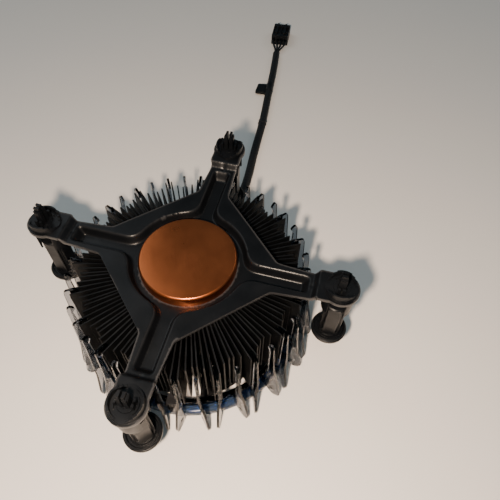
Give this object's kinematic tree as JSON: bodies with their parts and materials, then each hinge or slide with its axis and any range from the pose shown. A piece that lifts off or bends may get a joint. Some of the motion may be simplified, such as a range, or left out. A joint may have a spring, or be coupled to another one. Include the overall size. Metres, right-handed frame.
{
  "type": "cpu cooler",
  "caption": "Round down-blowing CPU cooler with radial black fins, copper core, pressed X bracket, push-pin fasteners, smoky light shroud and fan cable, lying fan side down.",
  "frame": {"origin": "on the fan axis, in the plane the cooler rests on when it lies fan side down", "axes": "+Z along the fan axis towards the copper contact face; +X and +Y square to the sides of the 78 mm hole pattern"},
  "size_m": [0.2063, 0.221, 0.0572],
  "materials": {
    "copper": "lapped copper with fine turning marks",
    "anodised_fins": "black anodised extrusion",
    "bracket_paint": "satin black coating",
    "black_nylon": "moulded black nylon",
    "smoky_clear": "smoky clear moulded light guide",
    "blue_clear": "blue tinted clear ring",
    "black_plastic": "moulded black plastic",
    "board_green": "solder mask",
    "lamination_steel": "stacked laminations",
    "enamelled_wire": "enamelled winding wire",
    "bronze": "oiled sintered bronze",
    "magnet_grey": "bonded magnet",
    "shaft_steel": "ground steel",
    "white_plastic": "nylon",
    "badge_film": "plain printed film",
    "cable_sleeve": "braided sleeve over four leads",
    "heat_shrink": "shrunk tube",
    "wire_insulation": "PVC insulation",
    "connector_plastic": "moulded nylon",
    "tinned_contacts": "tin plated brass"
  },
  "bodies": {
    "base": {"heatsink": "anodised_fins", "contact_core": "copper", "mounting_bracket": "bracket_paint", "light_shroud": "smoky_clear", "accent_ring": "blue_clear", "fan_frame": "black_plastic", "circuit_board": "board_green", "hall_sensor": "black_plastic", "stator_core": "lamination_steel", "stator_coils": "enamelled_wire", "bearing_sleeve": "bronze", "fan_cable": "cable_sleeve", "cable_collar": "heat_shrink", "cable_clip": "black_plastic", "lead_wires": "wire_insulation", "connector_housing": "connector_plastic", "connector_contacts": "tinned_contacts", "fastener_base_1": "black_nylon", "fastener_base_2": "black_nylon", "fastener_base_3": "black_nylon", "fastener_base_4": "black_nylon"},
    "rotor": {"fan_rotor": "black_plastic", "rotor_yoke": "lamination_steel", "magnet_ring": "magnet_grey", "rotor_shaft": "shaft_steel", "shaft_clip": "white_plastic", "hub_badge": "badge_film"},
    "pin_1": {"fastener_pin_1": "black_nylon"},
    "cap_1": {"fastener_cap_1": "black_nylon"},
    "pin_2": {"fastener_pin_2": "black_nylon"},
    "cap_2": {"fastener_cap_2": "black_nylon"},
    "pin_3": {"fastener_pin_3": "black_nylon"},
    "cap_3": {"fastener_cap_3": "black_nylon"},
    "pin_4": {"fastener_pin_4": "black_nylon"},
    "cap_4": {"fastener_cap_4": "black_nylon"}
  },
  "joints": [
    {"name": "fan_spin", "type": "hinge", "parent": "base", "child": "rotor", "pos_m": [0, 0, 0.008], "axis": [0, 0, 1], "continuous": true},
    {"name": "pin_slide_1", "type": "slide", "parent": "base", "child": "pin_1", "axis": [0, 0, 1], "range_m": [0, 0.0045]},
    {"name": "cap_turn_1", "type": "hinge", "parent": "pin_1", "child": "cap_1", "pos_m": [-0.039, 0.039, 0.0185], "axis": [0, 0, 1], "range_deg": [0, 90]},
    {"name": "pin_slide_2", "type": "slide", "parent": "base", "child": "pin_2", "axis": [0, 0, 1], "range_m": [0, 0.0045]},
    {"name": "cap_turn_2", "type": "hinge", "parent": "pin_2", "child": "cap_2", "pos_m": [0.039, 0.039, 0.0185], "axis": [0, 0, 1], "range_deg": [0, 90]},
    {"name": "pin_slide_3", "type": "slide", "parent": "base", "child": "pin_3", "axis": [0, 0, 1], "range_m": [0, 0.0045]},
    {"name": "cap_turn_3", "type": "hinge", "parent": "pin_3", "child": "cap_3", "pos_m": [0.039, -0.039, 0.0185], "axis": [0, 0, 1], "range_deg": [0, 90]},
    {"name": "pin_slide_4", "type": "slide", "parent": "base", "child": "pin_4", "axis": [0, 0, 1], "range_m": [0, 0.0045]},
    {"name": "cap_turn_4", "type": "hinge", "parent": "pin_4", "child": "cap_4", "pos_m": [-0.039, -0.039, 0.0185], "axis": [0, 0, 1], "range_deg": [0, 90]}
  ]
}
